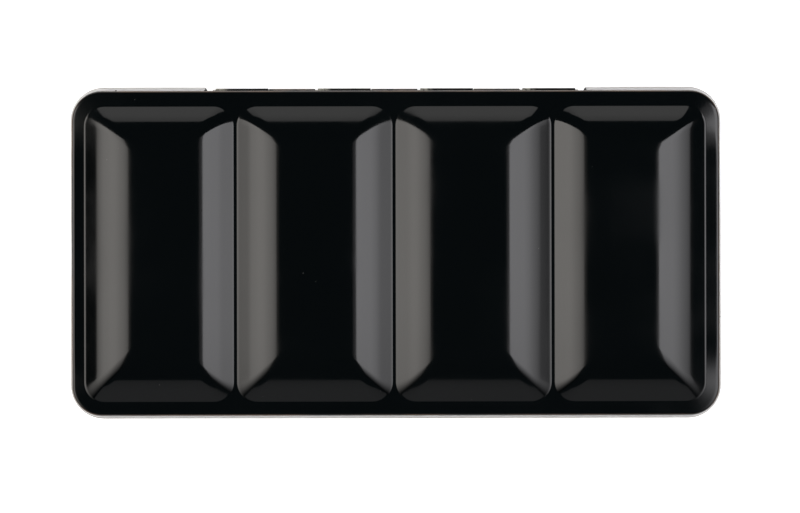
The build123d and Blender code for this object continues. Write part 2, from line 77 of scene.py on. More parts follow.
class Shade:
    """A socket in a material. Arithmetic on shades adds Math nodes."""

    def __init__(self, tree, socket):
        self.tree = tree
        self.socket = socket

    def node(self, kind, settings=None, values=None, out=0):
        """New node: its settings first, then the values or links of its sockets."""
        made = self.tree.nodes.new(kind)
        for name, value in (settings or {}).items():
            if name == "stops":
                while len(made.color_ramp.elements) < len(value):
                    made.color_ramp.elements.new(0.5)
                for stop, (share, colour) in zip(made.color_ramp.elements, value):
                    stop.position = share
                    stop.color = colour
            else:
                setattr(made, name, value)
        for name, value in (values or {}).items():
            if isinstance(value, Shade):
                self.tree.links.new(value.socket, made.inputs[name])
            else:
                made.inputs[name].default_value = value
        return Shade(self.tree, made.outputs[out] if made.outputs else None)

    def other(self, name):
        """Another output of the node that this shade comes from."""
        return Shade(self.tree, self.socket.node.outputs[name])

    def maths(self, operation, *values):
        return self.node("ShaderNodeMath", {"operation": operation}, dict(enumerate(values)))

    def __add__(self, other):
        return self.maths("ADD", self, other)

    __radd__ = __add__

    def __mul__(self, other):
        return self.maths("MULTIPLY", self, other)

    __rmul__ = __mul__

    def __sub__(self, other):
        return self.maths("SUBTRACT", self, other)

    def __rsub__(self, other):
        return self.maths("SUBTRACT", other, self)

    def __truediv__(self, other):
        return self.maths("DIVIDE", self, other)

    def __pow__(self, other):
        return self.maths("POWER", self, other)

    def __gt__(self, other):
        return self.maths("GREATER_THAN", self, other)

    def __lt__(self, other):
        return self.maths("LESS_THAN", self, other)

    def __abs__(self):
        return self.maths("ABSOLUTE", self)

    def ease(self, low, high):
        """Smooth step from 0 where this shade is low to 1 where it is high."""
        return self.node("ShaderNodeMapRange", {"interpolation_type": "SMOOTHSTEP"},
                         {"Value": self, "From Min": low, "From Max": high})

    def blend(self, one, two):
        """Colour that goes from one to two as this shade goes from 0 to 1."""
        one, two = (c if isinstance(c, Shade) else (*c, 1.0) for c in (one, two))
        return self.node("ShaderNodeMix", {"data_type": "RGBA"},
                         {"Factor": self, "A": one, "B": two}, out=2)

    def split(self):
        """The three parts of this shade's vector."""
        parts = self.node("ShaderNodeSeparateXYZ", values={"Vector": self})
        return [parts.other(axis) for axis in "XYZ"]

    def stretched(self, by):
        """This vector with each part multiplied by its own number."""
        return self.node("ShaderNodeVectorMath", {"operation": "MULTIPLY"}, {0: self, 1: by})

    def noise(self, scale, detail=2.0):
        """Cloudy pattern from 0 to 1, with about scale blobs to the metre."""
        return self.node("ShaderNodeTexNoise", values={"Vector": self, "Scale": scale, "Detail": detail})

    def bump(self, distance):
        """Normal from this shade taken as a height, in metres where it is 1."""
        return self.node("ShaderNodeBump", values={"Height": self, "Distance": distance})


def finish_named(name):
    """Empty material, a start for its nodes, and a shade of the object's coordinates."""
    material = bpy.data.materials.new(name)
    material.use_nodes = True
    material.node_tree.nodes.clear()
    start = Shade(material.node_tree, None)
    return material, start, start.node("ShaderNodeTexCoord", out="Object")


def principled(start, **values):
    """Principled shader with the given sockets, named with _ for each space."""
    return start.node("ShaderNodeBsdfPrincipled",
                      values={name.replace("_", " "): value for name, value in values.items()})


def surface(start, **values):
    """The material's output, fed by a principled shader with the given sockets."""
    start.node("ShaderNodeOutputMaterial", values={"Surface": principled(start, **values)})


# the table is clear from below, so that the underside of the box can be seen
table_half, table_z = 4000.0, -0.05
table = place_mesh("table", [(x * table_half, y * table_half, table_z)
                             for x, y in ((-1, -1), (1, -1), (1, 1), (-1, 1))], [(0, 1, 2, 3)])
table_white, start, spot = finish_named("table_white")
white = principled(start, Base_Color=spot.noise(3.0).blend((0.60, 0.60, 0.60), (0.64, 0.64, 0.64)),
                   Roughness=0.6, Emission_Color=(1, 1, 1, 1), Emission_Strength=0.74)
from_below = start.node("ShaderNodeNewGeometry", out="Backfacing")
clear = start.node("ShaderNodeBsdfTransparent")
start.node("ShaderNodeOutputMaterial", values={"Surface": start.node(
    "ShaderNodeMixShader", values={0: from_below, 1: white, 2: clear})})
table.data.materials.append(table_white)


def softbox(name, top, foot, length, glow, tint, stops, front=(-3.0, -2.0)):
    """Glowing panel of the given length from its top edge to its foot edge, both given as
    the (x, y, z) of their middles, all in metres. Its brightness is glow times the value
    of the stops, each a pair: height as a share of the top's height, and brightness. It
    fades out towards the front between the two y places of front."""
    top, foot = np.array(top) / mm, np.array(foot) / mm
    across = np.cross(top - foot, (0.0, 0.0, 1.0))
    across *= length / 2 / mm / np.linalg.norm(across)
    panel = place_mesh(name, [foot - across, foot + across, top + across, top - across], [(0, 1, 2, 3)])
    light, start, spot = finish_named(name)
    _, y, z = spot.split()
    height = z / (top[2] * mm)
    ramp = start.node("ShaderNodeValToRGB", {"stops": [
        (share, (*(value * part for part in tint), 1.0)) for share, value in stops]}, {"Fac": height})
    glowing = start.node("ShaderNodeEmission", values={"Color": ramp, "Strength": y.ease(*front) * glow})
    start.node("ShaderNodeOutputMaterial", values={"Surface": glowing})
    panel.data.materials.append(light)
    panel.visible_camera = False
    return panel


softbox("softbox_right", (0.322, -0.12, 0.880), (0.430, -0.12, 0.165), 0.64, 3.4, (0.99, 0.98, 1.01),
        ((0.216, 0.02), (0.235, 0.38), (0.268, 0.50), (0.311, 0.62), (0.389, 0.86), (0.475, 1.0),
         (0.858, 1.06), (0.870, 0.22), (0.90, 0.14), (1.0, 0.09)), (-0.42, 0.0))
softbox("softbox_left", (-0.412, -0.15, 0.960), (-0.560, -0.15, 0.150), 0.85, 3.5, (1.02, 0.98, 0.935),
        ((0.205, 0.0), (0.217, 0.10), (0.232, 0.46), (0.264, 0.66), (0.323, 0.88), (0.448, 1.0),
         (0.538, 0.98), (0.627, 0.86), (0.735, 0.74), (0.806, 0.62), (0.885, 0.44), (0.90, 0.10),
         (1.0, 0.04)), (-0.52, 0.0))
softbox("reflector_back", (-0.06, 0.62, 0.330), (-0.06, 0.64, 0.02), 0.74, 0.95, (1.0, 0.99, 0.98),
        ((0.1, 1.0), (0.6, 0.95), (1.0, 0.75)))
softbox("reflector_front", (0, -0.55, 0.480), (0, -0.60, 0.02), 1.3, 0.32, (1.0, 1.0, 1.02),
        ((0.1, 1.1), (0.8, 0.95), (1.0, 0.8)))
# unseen in reflections, so that it lights the white flange and not the black gloss
scrim = softbox("scrim_overhead", (0, 0.5, 1.05), (0, -0.5, 1.0), 1.0, 1.7, (1.0, 1.0, 1.0),
                ((0.0, 1.0), (1.0, 1.0)))
scrim.visible_glossy = False

# pale walls low down and a dark ceiling
room = bpy.data.worlds.new("room")
room.use_nodes = True
sky = Shade(room.node_tree, None).node("ShaderNodeTexCoord", out="Generated").split()[2]
backdrop = sky.ease(0.08, 0.28).blend((0.95, 0.95, 0.95), (0.026, 0.036, 0.041))
room.node_tree.links.new(backdrop.socket, room.node_tree.nodes["Background"].inputs["Color"])
scene.world = room


# --------------------------------------------------------------------- Lid
# One sheet of tinplate pressed into four mixing wells, which stand up as
# pillows from a flat land. Its edge is rounded over into a short wall, black
# enamelled outside and white inside.
lid_half = (118.7, 59.57)
lid_y = -0.16                           # its middle, a little forward of the tray's
lid_corner, lid_gauge = 10.9, 0.40
lid_foot, land_z, edge_round = 17.08, 23.4, 1.2
window_z, window_half = 21.45, 68.6     # below and within these the back wall is left off
well_edges = ((-114.15, -58.85), (-58.35, -0.85), (-0.35, 57.15), (57.65, 113.60))
well_half_y, well_y = 54.5, -0.34
corner_tilt = 0.068                     # fall of the land's four corners
tilt_from, tilt_over = (93, 31), (12, 15)
root_width, side_width, dome_width, slope = 0.75, 3.75, 16.8, radians(30.3)
end_squeeze, back_lean = 0.90, 0.10     # these make a well's back slope the steepest
dome_foot = root_width + side_width
shoulder = dome_foot + dome_width
root_radius, dome_radius = root_width / np.sin(slope), dome_width / np.sin(slope)
well_rise = (root_radius + dome_radius) * (1 - np.cos(slope)) + side_width * np.tan(slope)
top_corner, more_corner, corner_fade = 2.0, 5.6, 6.0
side_steps, end_steps, arc_steps = 44, 26, 14
corner_signs = ((1, -1), (1, 1), (-1, 1), (-1, -1))


def quarter(centre, radius, turn, steps):
    """Quarter of a circle round corner number turn, anticlockwise, with its centre's
    size in x and y given."""
    angle = radians(-90 + 90 * turn) + np.linspace(0, np.pi / 2, steps + 1)
    return np.array(centre) * corner_signs[turn] + radius * np.stack([np.cos(angle), np.sin(angle)], 1)


def rounded_outline(half_a, half_b, corner, on_x, on_y, on_arc):
    """Rounded rectangle as a ring of points, anticlockwise from the lower right arc's
    start. on_x, on_y and on_arc count the steps of each straight run and each arc."""
    arcs = [quarter((half_a - corner, half_b - corner), corner, turn, on_arc) for turn in range(4)]
    ring = []
    for turn in range(4):
        share = np.linspace(0, 1, (on_y, on_x)[turn % 2] + 1)[1:-1, None]
        first, last = arcs[turn][-1], arcs[(turn + 1) % 4][0]
        ring += [arcs[turn], first + (last - first) * share]
    return np.concatenate(ring)


def corner_radius(d):
    """Plan corner of a well at distance d inside its edge. It tightens on the way up:
    top + more e^(-d / fade)."""
    return top_corner + more_corner * np.exp(-d / corner_fade)


def well_height(d):
    """Height above the land at distance d inside a well's edge. Root: a hollow arc,
    r_root (1 - cos t) with sin t = d / r_root. Then a straight side, and a dome:
    rise - r_dome (1 - cos t) with sin t = (well's shoulder - d) / r_dome."""
    if d <= root_width:
        return root_radius * (1 - np.sqrt(1 - (d / root_radius) ** 2))
    if d <= dome_foot:
        return root_radius * (1 - np.cos(slope)) + (d - root_width) * np.tan(slope)
    sine = (shoulder - d) / dome_radius
    return well_rise - dome_radius * (1 - np.sqrt(1 - sine ** 2))


def smooth(share):
    """Eased step from 0 to 1 as share goes from 0 to 1: 3 s^2 - 2 s^3."""
    share = np.clip(share, 0, 1)
    return share * share * (3 - 2 * share)


def outward_in_plan(xy, half, corner):
    """Outward direction at points near a rounded rectangle's outline, and how far each
    lies from the rectangle through the corners' centres."""
    reach = np.array(half) - corner
    away = xy - np.clip(xy, -reach, reach)
    length = np.linalg.norm(away, axis=1)
    return away / np.maximum(length, 1e-9)[:, None], length


def cell_outline(low_x, high_x, well_x, well_half):
    """A well's own outline, and the border of the land round it with a point for each
    of the outline's. Runs keep their place along the side; the points of each arc are
    spread by length along the border between the ends of the two runs that they join."""
    edge = rounded_outline(well_half, well_half_y, corner_radius(0), end_steps, side_steps, arc_steps)
    edge += (well_x, well_y)
    border = edge.copy()
    limits = (high_x, lid_half[1] - edge_round, low_x, edge_round - lid_half[1])
    radius = lid_corner - edge_round
    first = 0
    for turn, (sign_x, sign_y) in enumerate(corner_signs):
        along = turn % 2
        after_arc = first + arc_steps + 1
        side = (high_x if sign_x > 0 else low_x, sign_y * limits[1])
        one, two = border[first].copy(), border[after_arc - 1].copy()
        one[1 - along], two[along] = side[1 - along], side[along]
        if abs(side[0]) > lid_half[0] - edge_round - 0.01:
            bend = quarter(np.array(lid_half) - lid_corner, radius, turn, 59)
            path = np.vstack([one, bend, two])
        else:
            path = np.vstack([one, side, two])
        length = np.concatenate([[0], np.cumsum(np.linalg.norm(np.diff(path, axis=0), axis=1))])
        want = np.linspace(0, length[-1], arc_steps + 1)
        if len(path) == 3:
            half_way = arc_steps // 2 + 1
            want = np.concatenate([np.linspace(0, length[1], half_way),
                                   np.linspace(length[1], length[2], half_way)[1:]])
        for axis in (0, 1):
            border[first:after_arc, axis] = np.interp(want, length, path[:, axis])
        first = after_arc + (side_steps, end_steps)[along] - 1
        border[after_arc:first, along] = limits[turn]
    return edge, border


def ring_faces(upper, lower, keep=None):
    """Quads between two rings of point numbers, all of them or those to keep."""
    quads = np.stack([upper, lower, np.roll(lower, -1), np.roll(upper, -1)], 1)
    return (quads if keep is None else quads[keep]).tolist()


def lid_cell(first, low_x, high_x, well_x, well_half):
    """Points and faces of one well, the land round it, and the rounded edge and wall
    where that land meets the lid's outline. Its points are numbered from first."""
    depths = np.concatenate([np.linspace(shoulder, dome_foot + 0.5, 34),
                             np.linspace(dome_foot, root_width, 9), np.linspace(0.6, 0.0, 6)])
    rings = []
    for d in depths:
        ring = rounded_outline(well_half - d, well_half_y - d * end_squeeze, corner_radius(d),
                               end_steps, side_steps, arc_steps) + (well_x, well_y + back_lean * d)
        rings.append(np.column_stack([ring, np.full(len(ring), land_z + well_height(d))]))
    edge, border = cell_outline(low_x, high_x, well_x, well_half)
    near_corner = smooth((np.abs(edge) - tilt_from) / tilt_over).prod(axis=1)
    droop = corner_tilt * near_corner * np.linalg.norm(border - edge, axis=1)
    for share in (0.05, 0.2, 0.36, 0.52, 0.68, 0.84, 1.0):
        rings.append(np.column_stack([edge + (border - edge) * share, land_z - droop * share]))
    # rounded edge and wall, only where the border is the lid's own outline
    land_rings = len(rings)
    outward, length = outward_in_plan(border, lid_half, lid_corner)
    on_line = np.abs(length - (lid_corner - edge_round)) < 0.02
    for turned in np.linspace(0, np.pi / 2, 9)[1:]:
        z = land_z - edge_round * (1 - np.cos(turned)) - droop
        rings.append(np.column_stack([border + outward * edge_round * np.sin(turned), z]))
    for z in (window_z, lid_foot):
        rings.append(np.column_stack([border + outward * edge_round, np.full(len(border), z)]))
    count = len(edge)
    here = first + np.arange(count)
    faces = [here.tolist()]
    for k in range(len(rings) - 1):
        keep = None
        if k + 1 >= land_rings:
            keep = on_line & np.roll(on_line, -1)
        if k + 2 == len(rings):
            middle = (border[:, 0] + np.roll(border[:, 0], -1)) / 2
            keep &= ~((border[:, 1] > 0) & (np.abs(middle) < window_half))
        faces += ring_faces(k * count + here, (k + 1) * count + here, keep)
    return np.concatenate(rings), faces


def sheet_mesh(name, points, faces, gauge, colours):
    """Object for a sheet of even gauge: the skin is merged at its joins, given its wall
    inwards, and shaded sharp at its cut edges. colours: outside, inside, cut edge."""
    skin = place_mesh(name, points, faces)
    shape = bmesh.new()
    shape.from_mesh(skin.data)
    bmesh.ops.remove_doubles(shape, verts=shape.verts, dist=2e-6)
    bmesh.ops.delete(shape, geom=[v for v in shape.verts if not v.link_faces], context="VERTS")
    bmesh.ops.dissolve_degenerate(shape, dist=1e-6, edges=shape.edges)
    shape.to_mesh(skin.data)
    shape.free()
    for colour in colours:
        skin.data.materials.append(colour)
    wall = skin.modifiers.new("gauge", "SOLIDIFY")
    wall.thickness = gauge * mm
    wall.offset = -1.0
    wall.use_quality_normals = True
    wall.material_offset = 1
    wall.material_offset_rim = 2
    solid = bpy.data.meshes.new_from_object(skin.evaluated_get(bpy.context.evaluated_depsgraph_get()))
    skin.modifiers.clear()
    skin.data = solid
    solid.shade_smooth()
    solid.set_sharp_from_angle(angle=radians(40))
    return skin


def beyond_core(spot, half_x, half_y, middle_y=0.0):
    """Distance in plan from a rectangle of the given half sizes, in metres, whose middle
    is at middle_y, then the size of x, y and z."""
    x, y, z = spot.split()
    past_x = spot.maths("MAXIMUM", abs(x) - half_x, 0.0)
    past_y = spot.maths("MAXIMUM", abs(y - middle_y) - half_y, 0.0)
    return (past_x * past_x + past_y * past_y) ** 0.5, abs(x), y, z


# gloss black: faint orange peel and rolling lines, dust, smudges, and a brown worn rim, its brown also a
# painted highlight tint
black_enamel, start, spot = finish_named("black_enamel")
lid_core = [(half - lid_corner) * mm for half in lid_half]
reach, _, _, z = beyond_core(spot, *lid_core, lid_y * mm)
# painted reflection: where the lid's top edge rounds over, the brown is worn steel and also a painted
# warm tint for that edge's highlight; the second term browns a band at the foot of the lid's wall
worn = (reach.ease(0.0101, 0.0107) * spot.noise(55.0, 4.0).ease(0.30, 0.62) * z.ease(0.0214, 0.0226)
        + reach.ease(0.0107, 0.0108) * (1.0 - z.ease(0.0173, 0.0179)) * (z > 0.0168) * 0.6)
cells = start.node("ShaderNodeTexVoronoi", values={"Vector": spot, "Scale": 210.0})
lone = cells.other("Color").split()[0]
dust = cells < (lone - 0.55) * 0.075
smudge = spot.noise(26.0, 5.0)
lines = spot.stretched((1.0, 0.03, 0.03)).noise(420.0, 3.0)
peel = spot.noise(620.0, 2.0) * 0.7 + lines * 0.6
colour = worn.blend((0.0009, 0.0014, 0.0016), (0.080, 0.045, 0.022))
colour = (dust * 0.8).blend(colour, (0.10, 0.10, 0.095))
surface(start, Base_Color=colour, Roughness=smudge.ease(0.42, 0.75) * 0.09 + 0.08 + worn * 0.15,
        Normal=peel.bump(1.3e-6))

# white enamel: warm mottling, faint washed-out paint inside, chips, a brown outer lip
# and black ends to the flange at each side of the hinge
white_enamel, start, spot = finish_named("white_enamel")
tray_core = (0.1078, 0.0489)            # the middle of a corner of the tray, in metres
reach, size_x, y, _ = beyond_core(spot, *tray_core)
inside = 1.0 - reach.ease(0.0093, 0.0098)
wash = spot.stretched((1.0, 1.6, 1.0))
blue = wash.noise(24.0, 4.0).ease(0.57, 0.70) * inside * 0.30
ochre = wash.noise(31.0, 5.0).ease(0.60, 0.72) * inside * 0.26
chip = spot.noise(330.0, 1.0).ease(0.745, 0.76) * reach.ease(0.0086, 0.0093)
lip = reach.ease(0.01175, 0.0121) * spot.noise(40.0, 3.0).ease(0.25, 0.60)
black_end = (size_x + y * 0.5 < 0.10055) * (y > 0.0590) * (size_x > 0.060)
mottled = spot.noise(17.0, 5.0)
# painted light: the flange, outside the tray's core, is a lighter white than the insides of the tray and
# lid, making up for the shade that the closed lid casts on it; the insides are kept darker so that they
# do not burn out with the lid open
colour = inside.blend(mottled.blend((0.86, 0.86, 0.87), (0.78, 0.77, 0.755)),
                     mottled.blend((0.60, 0.60, 0.605), (0.52, 0.51, 0.49)))
colour = blue.blend(colour, (0.20, 0.30, 0.42))
colour = ochre.blend(colour, (0.50, 0.33, 0.20))
colour = (lip * 0.75).blend(colour, (0.22, 0.16, 0.11))
colour = chip.blend(colour, (0.09, 0.075, 0.065))
colour = black_end.blend(colour, (0.004, 0.004, 0.004))
surface(start, Base_Color=colour, Roughness=spot.noise(60.0, 3.0) * 0.14 + 0.12 + blue * 0.6,
        Normal=(spot.noise(480.0, 2.0) - chip * 12.0).bump(3e-6))

# sheared edge of the tinplate: dull metal with a little rust
bare_edge, start, spot = finish_named("bare_edge")
rust = spot.noise(240.0, 4.0).ease(0.42, 0.66)
surface(start, Base_Color=rust.blend((0.36, 0.33, 0.29), (0.13, 0.075, 0.045)),
        Roughness=rust * 0.35 + 0.35, Metallic=1.0 - rust * 0.7,
        Normal=spot.stretched((1.0, 1.0, 6.0)).noise(900.0, 2.0).bump(1e-5))

limit_x = lid_half[0] - edge_round
joins = [-limit_x, *((one[1] + two[0]) / 2 for one, two in zip(well_edges, well_edges[1:])), limit_x]
lid_points, lid_faces = np.zeros((0, 3)), []
for low_x, high_x, (left, right) in zip(joins, joins[1:], well_edges):
    points, faces = lid_cell(len(lid_points), low_x, high_x, (left + right) / 2, (right - left) / 2)
    lid_points = np.concatenate([lid_points, points])
    lid_faces += faces
lid_skin = sheet_mesh("lid_pressing", lid_points + (0, lid_y, 0), lid_faces, lid_gauge,
                      (black_enamel, white_enamel, bare_edge))
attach(lid_skin, "lid")
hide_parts("lid")


# ----------------------------------------------------------- Lid's knuckles
# Three tongues of the lid's back wall, curled round the hinge wire between the base's
# own four. Their enamel has cracked off in the bending, so they look browner.
hinge_y, hinge_z, bore_r = 59.40, 20.30, 0.55
knuckle_pitch = 37.55
lid_knuckle_length, lid_knuckle_shift = 16.9, -0.4
tongue_gauge, tongue_overlap = 0.30, 0.25


def arc_points(centre, radius, start, stop, steps):
    """Points on a circle from one angle to another, in degrees."""
    turns = np.radians(np.linspace(start, stop, steps + 1))
    return np.stack([centre[0] + radius * np.cos(turns), centre[1] + radius * np.sin(turns)], 1)


def ring_skin(name, rings, material, closed_ends=True, girth=1.0, along=None, sharp=40):
    """Mesh through rings of points, an array of shape (rings, points round, 3) in
    millimetres. Its UV map runs from 0 to girth round the rings and over the values
    of along, or the ring's number, from ring to ring."""
    rings = np.asarray(rings, float)
    rows, count = rings.shape[:2]
    here = np.arange(count)
    after = (here + 1) % count
    faces = []
    for k in range(rows - 1):
        faces += np.stack([k * count + here, k * count + after,
                           (k + 1) * count + after, (k + 1) * count + here], 1).tolist()
    if closed_ends:
        faces += [here[::-1].tolist(), ((rows - 1) * count + here).tolist()]
    thing = place_mesh(name, rings.reshape(-1, 3), faces)
    heights = np.arange(rows, dtype=float) if along is None else np.asarray(along, float)
    round_share = here / count * girth
    corners = np.zeros((rows - 1, count, 4, 2))
    corners[:, :, (0, 3), 0] = round_share[None, :, None]
    corners[:, :, (1, 2), 0] = (round_share + girth / count)[None, :, None]
    corners[:, :, (0, 1), 1] = heights[:-1, None, None]
    corners[:, :, (2, 3), 1] = heights[1:, None, None]
    flat = corners.reshape(-1, 2)
    if closed_ends:
        flat = np.concatenate([flat, np.tile((0.0, heights[0]), (count, 1)),
                               np.tile((0.0, heights[-1]), (count, 1))])
    thing.data.uv_layers.new(name="skin").data.foreach_set("uv", flat.ravel())
    shape = bmesh.new()
    shape.from_mesh(thing.data)
    bmesh.ops.recalc_face_normals(shape, faces=shape.faces)
    shape.to_mesh(thing.data)
    shape.free()
    thing.data.materials.append(material)
    thing.data.shade_smooth()
    thing.data.set_sharp_from_angle(angle=radians(sharp))
    return thing


def curled_strip(name, path, gauge, low_x, high_x, material):
    """Strip of sheet that follows path, a row of (y, z) points on its middle plane,
    from low_x to high_x, with slightly rounded ends along X."""
    path = np.asarray(path, float)
    ahead = np.gradient(path, axis=0)
    ahead /= np.linalg.norm(ahead, axis=1, keepdims=True)
    side = np.stack([-ahead[:, 1], ahead[:, 0]], 1) * gauge / 2
    section = np.concatenate([path + side, (path - side)[::-1]])
    middle = np.concatenate([path, path[::-1]])
    # at the ends the gauge narrows over a quarter of itself, as (distance, gauge) shares
    rounding = 0.25 * gauge
    ends = ((0.0, 0.6), (0.3, 0.85), (1.0, 1.0))
    stations = [(low_x + rounding * share, keep) for share, keep in ends]
    stations += [(high_x - rounding * share, keep) for share, keep in ends[::-1]]
    rings = []
    for x, keep in stations:
        row = middle + (section - middle) * keep
        rings.append(np.column_stack([np.full(len(row), x), row]))
    return ring_skin(name, rings, material, along=[x for x, keep in stations])


lid_wall_y = lid_half[1] + lid_y - tongue_gauge / 2
lid_curl_r = bore_r + tongue_gauge / 2
lid_curl = np.concatenate([
    [(lid_wall_y, window_z + tongue_overlap), (lid_wall_y, window_z)],
    arc_points((hinge_y, hinge_z), lid_curl_r, 165, 470, 40)])
knuckle_xs = [(k - 1.5) * knuckle_pitch for k in range(4)]
gap_xs = [x + knuckle_pitch / 2 + lid_knuckle_shift for x in knuckle_xs[:-1]]

# crazed black enamel with brown steel in the cracks
worn_enamel, start, spot = finish_named("worn_enamel")
cracked = spot.stretched((0.35, 1.0, 1.0)).noise(520.0, 4.0).ease(0.38, 0.62)
surface(start, Base_Color=cracked.blend((0.012, 0.011, 0.010), (0.115, 0.092, 0.072)),
        Roughness=cracked * 0.25 + 0.22, Metallic=cracked * 0.4,
        Normal=cracked.bump(6e-6))
for number, x in enumerate(gap_xs):
    knuckle = curled_strip(f"lid_knuckle_{number + 1}", lid_curl, tongue_gauge,
                           x - lid_knuckle_length / 2, x + lid_knuckle_length / 2, worn_enamel)
    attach(knuckle, "lid")


# --------------------------------------------------------------- Base tray
# A drawn steel tray, white enamelled inside and on the flange, black outside. The
# flange turns out level with the top of the wall and its edge is turned down. Behind
# the hinge it is left off, and the wall stands up there. The floor's middle is raised.
base_gauge = 0.45
inner_half, inner_corner, floor_fillet = (117.3, 58.4), 9.5, 2.55
flange_top, flange_reach, lip_drop, bend_r = 17.0, 2.7, 1.3, 0.6
panel_foot, panel_rise, panel_corner = 8.364, 2.6, 9.95
upstand_top = 19.0
hinge_half, notch_half, notch_slant = 66.025, 70.125, 1.6
to_slant, to_step = 8, 10               # columns before the wall stands up and steps up
wall_middle = 8.0


def back_columns():
    """X places of the points along the long sides, from +X to -X, with a double point
    where the flange ends and one where the standing wall steps up."""
    outer = np.linspace(inner_half[0] - inner_corner, notch_half, 9)[1:-1]
    inner = np.linspace(hinge_half, -hinge_half, 61)
    low = notch_half - notch_slant
    right = np.concatenate([outer, [notch_half, low, hinge_half]])
    return np.concatenate([right, inner, -right[::-1]])


columns_x = back_columns()
long_steps, short_steps, corner_steps = len(columns_x) + 1, 24, 14
back_first = 2 * (corner_steps + 1) + short_steps - 1


def tray_ring(out, z, corner):
    """Ring of the tray at distance out beyond its inner wall. The points of the long
    sides keep the places of back_columns, and the flange's ends slant."""
    half_a, half_b = inner_half[0] + out, inner_half[1] + out
    ring = rounded_outline(half_a, half_b, corner, long_steps, short_steps, corner_steps)
    straight = inner_half[0] - inner_corner
    scale = (half_a - corner - notch_half) / (straight - notch_half)
    slant = notch_half - notch_slant * (1 - max(out, 0) / flange_reach)
    past = np.maximum(np.abs(columns_x) - notch_half, 0)
    xs = columns_x + np.sign(columns_x) * past * (scale - 1)
    xs = np.where(np.isclose(np.abs(columns_x), notch_half), np.sign(columns_x) * slant, xs)
    ring[back_first:back_first + len(xs), 0] = xs
    front = 2 * back_first + len(xs)
    ring[front:front + len(xs), 0] = -xs
    return np.column_stack([ring, np.full(len(ring), z)])


# from the floor's raised panel outwards and up to the flange's turned-down edge
panel_edge, panel_z = -(panel_foot + panel_rise), base_gauge + panel_rise
tray_rings = [tray_ring(panel_edge - inside, panel_z, panel_corner - panel_rise)
              for inside in (9.0, 0.6, 0.0)]
tray_rings.append(tray_ring(-panel_foot, base_gauge, panel_corner))
for out, z in arc_points((-floor_fillet, base_gauge + floor_fillet), floor_fillet, -90, 0, 8):
    tray_rings.append(tray_ring(out, z, inner_corner + out))
for z in (wall_middle, flange_top - bend_r):
    tray_rings.append(tray_ring(0, z, inner_corner))
bend_row = len(tray_rings) - 1
for out, z in arc_points((bend_r, flange_top - bend_r), bend_r, 180, 90, 4)[1:]:
    tray_rings.append(tray_ring(out, z, inner_corner + out))
level_row = len(tray_rings) - 1
edge_out = flange_reach - base_gauge
for out, z in arc_points((edge_out, flange_top - base_gauge), base_gauge, 90, 0, 5):
    tray_rings.append(tray_ring(out, z, inner_corner + out))
tray_rings.append(tray_ring(flange_reach, flange_top - lip_drop, inner_corner + flange_reach))
tray_points = np.array(tray_rings)
rows, count = tray_points.shape[:2]

# behind the hinge the wall goes straight up instead of bending out
back = np.arange(back_first, back_first + len(columns_x))
upright, tall = back[to_slant:-to_slant], back[to_step:-to_step]
for row in range(bend_row + 1, rows):
    tray_points[row, upright, 0] = columns_x[to_slant:-to_slant]
    tray_points[row, upright, 1] = inner_half[1]
    rise = (row - bend_row) / (level_row - bend_row)
    tray_points[row, upright, 2] = flange_top - bend_r * (1 - min(rise, 1))
tray_points[level_row + 1:, tall, 2] = upstand_top

here = np.arange(count)
tray_faces = [here.tolist()]
for row in range(rows - 1):
    keep = np.ones(count, bool)
    if row >= bend_row:
        keep[[upright[0] - 1, upright[-1]]] = False
    if row >= level_row:
        keep[upright[0]:upright[-1]] = False
        if row == level_row:
            keep[tall[0]:tall[-1]] = True
    tray_faces += ring_faces(row * count + here, (row + 1) * count + here, keep)
tray_skin = sheet_mesh("base_tray_pressing", tray_points.reshape(-1, 3), tray_faces, base_gauge,
                       (white_enamel, black_enamel, bare_edge))
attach(tray_skin, "base")
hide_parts("base_tray")


# ---------------------------------------------------------- Base's knuckles
# Four tabs of the standing wall, curled outwards over the hinge wire. The paint is
# chipped to bright steel at the left end of each.
base_knuckle_length, curl_above = 19.4, 0.6
base_wall_y = inner_half[1] + base_gauge / 2
base_curl_r = bore_r + base_gauge / 2
base_curl = np.concatenate([
    [(base_wall_y, upstand_top), (base_wall_y, upstand_top + curl_above)],
    arc_points((hinge_y, hinge_z), base_curl_r, 180, -110, 40)])

# worn black, chipped to bright metal over the left seventh of every pitch
rubbed_enamel, start, spot = finish_named("rubbed_enamel")
first_left = knuckle_xs[0] - base_knuckle_length / 2
pitches = (spot.split()[0] - first_left * mm) / (knuckle_pitch * mm)
left_end = 1.0 - pitches.maths("FRACT", pitches).ease(0.05, 0.14)
bright = left_end * spot.noise(850.0, 3.0).ease(0.36, 0.56)
scuff = spot.stretched((0.4, 1.0, 1.0)).noise(600.0, 4.0).ease(0.52, 0.68) * 0.6
colour = scuff.blend((0.004, 0.0037, 0.0034), (0.024, 0.020, 0.016))
surface(start, Base_Color=bright.blend(colour, (0.34, 0.33, 0.285)),
        Roughness=bright * 0.12 + scuff * 0.2 + 0.26, Metallic=bright * 0.75, Specular_IOR_Level=0.12,
        Normal=(spot.noise(700.0, 3.0) - bright * 0.8).bump(8e-6))
for number, x in enumerate(knuckle_xs):
    knuckle = curled_strip(f"base_knuckle_{number + 1}", base_curl, base_gauge,
                           x - base_knuckle_length / 2, x + base_knuckle_length / 2, rubbed_enamel)
    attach(knuckle, "base")


# --------------------------------------------------------------- Hinge wire
# One straight steel wire through all seven knuckles, with short rounded ends.
wire_steel, start, spot = finish_named("wire_steel")
drawn = spot.stretched((0.04, 1.0, 1.0)).noise(2600.0, 3.0)
rust = spot.noise(170.0, 5.0).ease(0.56, 0.72)
surface(start, Base_Color=rust.blend((0.46, 0.44, 0.41), (0.16, 0.085, 0.045)),
        Metallic=1.0 - rust * 0.7, Roughness=drawn * 0.22 + rust * 0.3 + 0.14,
        Normal=drawn.bump(6e-6))
wire_half, wire_r = 67.225, 0.5
wire_tip = ((0.0, 0.15), (0.12, 0.38), (0.3, wire_r))


